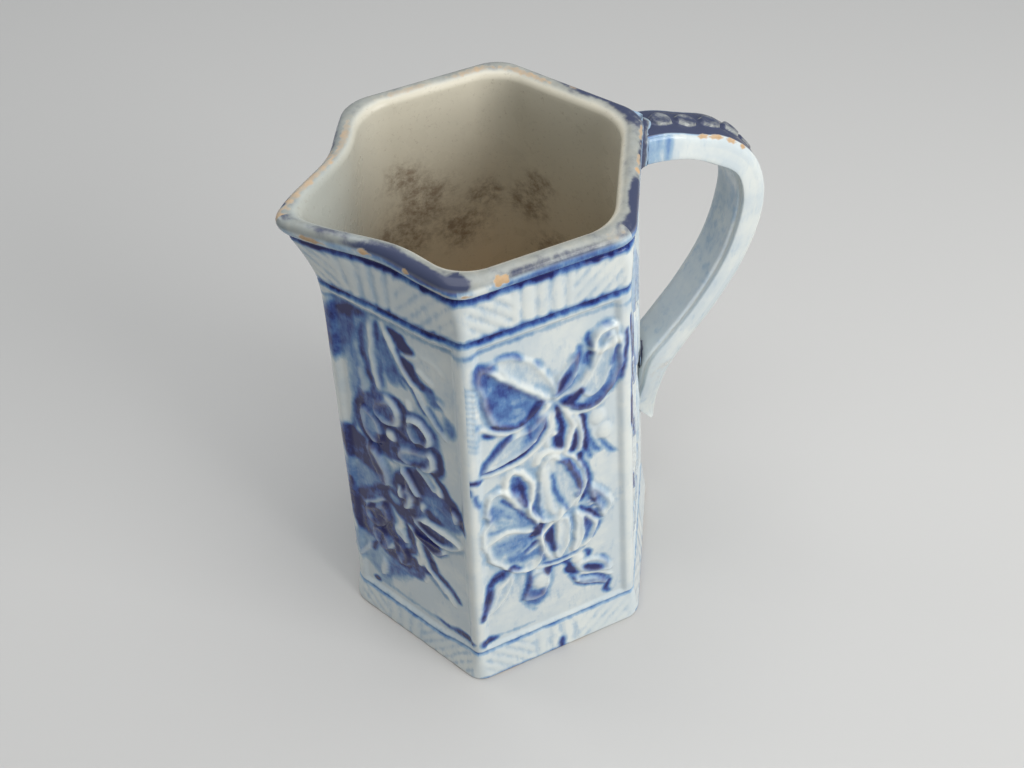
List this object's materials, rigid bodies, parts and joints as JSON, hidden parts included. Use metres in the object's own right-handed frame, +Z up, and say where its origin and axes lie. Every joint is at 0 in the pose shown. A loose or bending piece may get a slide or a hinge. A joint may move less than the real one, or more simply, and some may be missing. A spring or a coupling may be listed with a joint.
{
  "type": "earthenware jug",
  "caption": "Hexagonal moulded earthenware jug with relief panels, reeded bands, a pinched corner spout and a strap handle.",
  "frame": {"origin": "middle of the flat underside, on the surface that the jug stands on", "axes": "+Z up the body, +X from the spout towards the handle, +Y towards the right side as seen by the hand on the handle"},
  "size_m": [0.1391, 0.0954, 0.1718],
  "materials": {
    "relief_glaze": "gloss pale blue-white glaze over relief, cobalt pooled in the hollows and brushed along the lines, cream on the ridges",
    "handle_glaze": "gloss pale blue glaze, cream along the edges, dark cobalt over the moulded scales",
    "luting_glaze": "gloss glaze with cobalt pooled along the joint",
    "base_glaze": "beige glaze inside, dry buff body underneath"
  },
  "bodies": {
    "root": {"spout_wall_left": "relief_glaze", "side_wall_left": "relief_glaze", "handle_wall_left": "relief_glaze", "handle_wall_right": "relief_glaze", "side_wall_right": "relief_glaze", "spout_wall_right": "relief_glaze", "base_slab": "base_glaze", "handle": "handle_glaze", "handle_luting_upper": "luting_glaze", "handle_luting_lower": "luting_glaze"}
  },
  "joints": []
}
